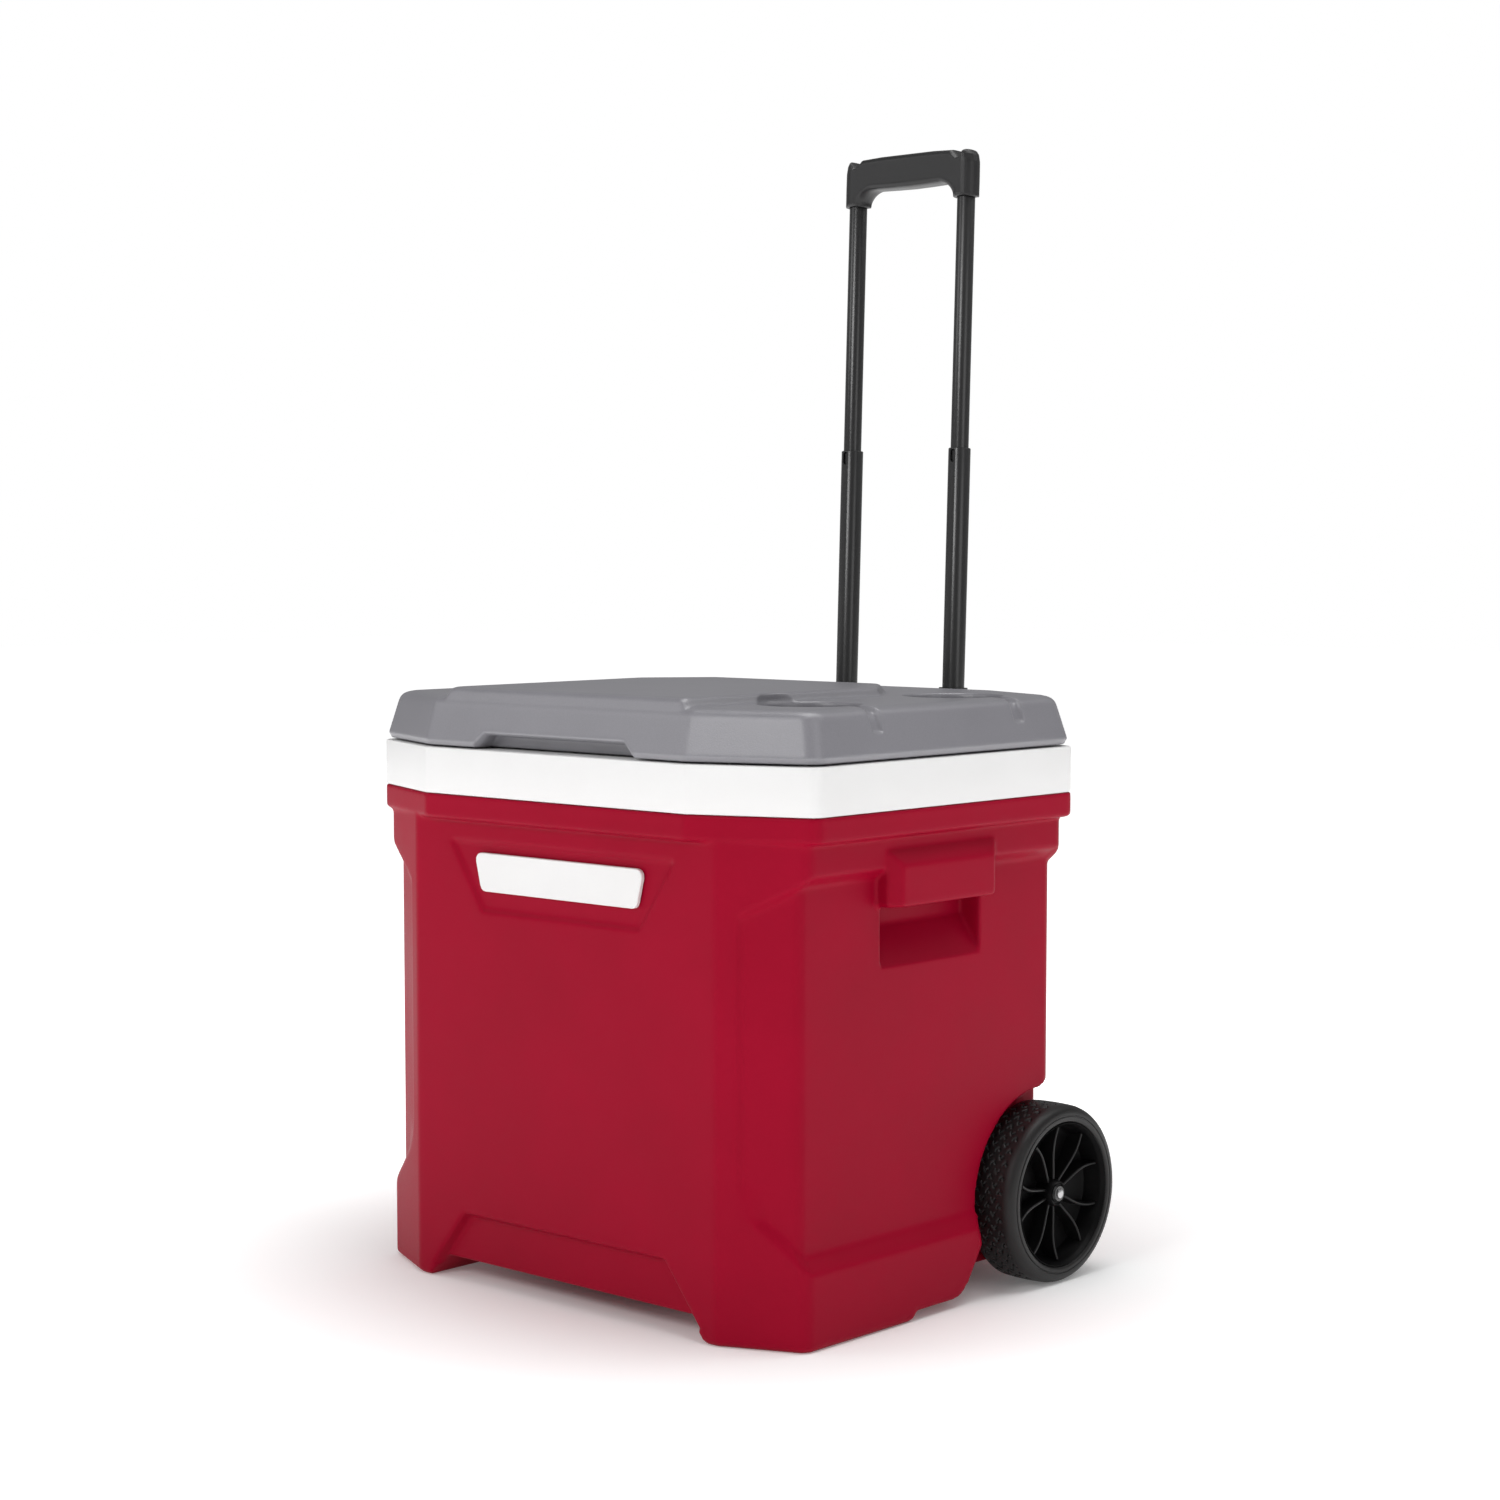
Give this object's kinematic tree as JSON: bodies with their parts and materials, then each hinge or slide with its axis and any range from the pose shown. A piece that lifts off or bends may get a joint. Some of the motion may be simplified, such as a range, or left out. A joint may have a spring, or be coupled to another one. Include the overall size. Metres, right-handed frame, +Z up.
{
  "type": "wheeled cooler chest",
  "caption": "Insulated wheeled cooler chest with a hinged lid, drink holders, moulded side grips, a drain plug and a telescoping pull handle with a lock button.",
  "frame": {"origin": "on the floor, under the middle of the box around the whole object with its handle pulled out", "axes": "+Z up, -Y towards the front with the badge, +X to the right seen from the front"},
  "size_m": [0.5152, 0.4737, 0.9777],
  "materials": {
    "shell_red": "fine moulded grain",
    "lid_grey": "fine moulded grain",
    "liner_white": "satin",
    "insulation": "matte",
    "black_plastic": "satin",
    "tyre_black": "matte",
    "seal_rubber": "matte",
    "black_tube": "satin",
    "steel": "satin"
  },
  "bodies": {
    "chest": {"body_shell": "shell_red", "body_foam": "insulation", "inner_liner": "liner_white", "badge": "liner_white", "drain_spout": "liner_white", "drain_washer": "seal_rubber", "drain_nut": "liner_white", "axle": "steel", "push_nut_left": "black_tube", "push_nut_right": "black_tube", "wheel_spacer_left": "liner_white", "wheel_spacer_right": "liner_white", "hinge_bracket_left": "black_plastic", "hinge_bracket_right": "black_plastic", "hinge_pin_left": "steel", "hinge_pin_right": "steel", "hinge_screw_1": "steel", "hinge_screw_2": "steel", "hinge_screw_3": "steel", "hinge_screw_4": "steel", "handle_bracket_upper": "black_plastic", "handle_bracket_lower": "black_plastic", "bracket_screw_1": "steel", "bracket_screw_2": "steel", "bracket_screw_3": "steel", "bracket_screw_4": "steel", "outer_tube_left": "black_tube", "outer_tube_right": "black_tube", "outer_bush_left": "black_plastic", "outer_bush_right": "black_plastic"},
    "lid": {"lid_shell": "lid_grey", "lid_foam": "insulation", "lid_liner": "liner_white", "lid_hinge_lug_left": "lid_grey", "lid_hinge_lug_right": "lid_grey"},
    "drain_plug": {"drain_cap": "liner_white", "drain_gasket": "seal_rubber"},
    "middle_stage": {"mid_tube_left": "black_tube", "mid_tube_right": "black_tube"},
    "top_stage": {"top_tube_left": "black_tube", "top_tube_right": "black_tube", "grip_front": "black_plastic", "grip_rear": "black_plastic", "lock_plug_left": "liner_white", "lock_plug_right": "liner_white", "button_spring": "steel"},
    "button": {"grip_button": "black_plastic", "release_rod_left": "steel", "release_rod_right": "steel"},
    "pin_left": {"lock_pin_left": "black_plastic"},
    "pin_right": {"lock_pin_right": "black_plastic"},
    "wheel_left": {"wheel_rim_left": "black_plastic", "tyre_left": "tyre_black"},
    "wheel_right": {"wheel_rim_right": "black_plastic", "tyre_right": "tyre_black"}
  },
  "joints": [
    {"name": "lid_hinge", "type": "hinge", "parent": "chest", "child": "lid", "pos_m": [0, 0.1677, 0.4785], "axis": [-1, 0, 0], "range_deg": [0, 83]},
    {"name": "drain_plug_pull", "type": "slide", "parent": "chest", "child": "drain_plug", "axis": [-1, 0, 0], "range_m": [0, 0.02]},
    {"name": "middle_stage_slide", "type": "slide", "parent": "chest", "child": "middle_stage", "axis": [0, 0.0349, 0.9994], "range_m": [-0.2, 0]},
    {"name": "top_stage_slide", "type": "slide", "parent": "middle_stage", "child": "top_stage", "axis": [0, 0.0349, 0.9994], "range_m": [-0.216, 0]},
    {"name": "button_press", "type": "slide", "parent": "top_stage", "child": "button", "axis": [0, -0.0349, -0.9994], "range_m": [0, 0.0035], "stiffness_N_per_m": 600, "springref_m": -0.002, "deforming": ["button_spring"]},
    {"name": "pin_left_retract", "type": "slide", "parent": "top_stage", "child": "pin_left", "axis": [0, 0.9994, -0.0349], "range_m": [0, 0.0028]},
    {"name": "pin_right_retract", "type": "slide", "parent": "top_stage", "child": "pin_right", "axis": [0, 0.9994, -0.0349], "range_m": [0, 0.0028]},
    {"name": "wheel_left_spin", "type": "hinge", "parent": "chest", "child": "wheel_left", "pos_m": [-0.2353, 0.1153, 0.0757], "axis": [1, 0, 0], "continuous": true},
    {"name": "wheel_right_spin", "type": "hinge", "parent": "chest", "child": "wheel_right", "pos_m": [0.2353, 0.1153, 0.0757], "axis": [1, 0, 0], "continuous": true}
  ],
  "couplings": [
    {"joint": "pin_left_retract", "follows": "button_press", "ratio": 0.8},
    {"joint": "pin_right_retract", "follows": "button_press", "ratio": 0.8}
  ]
}
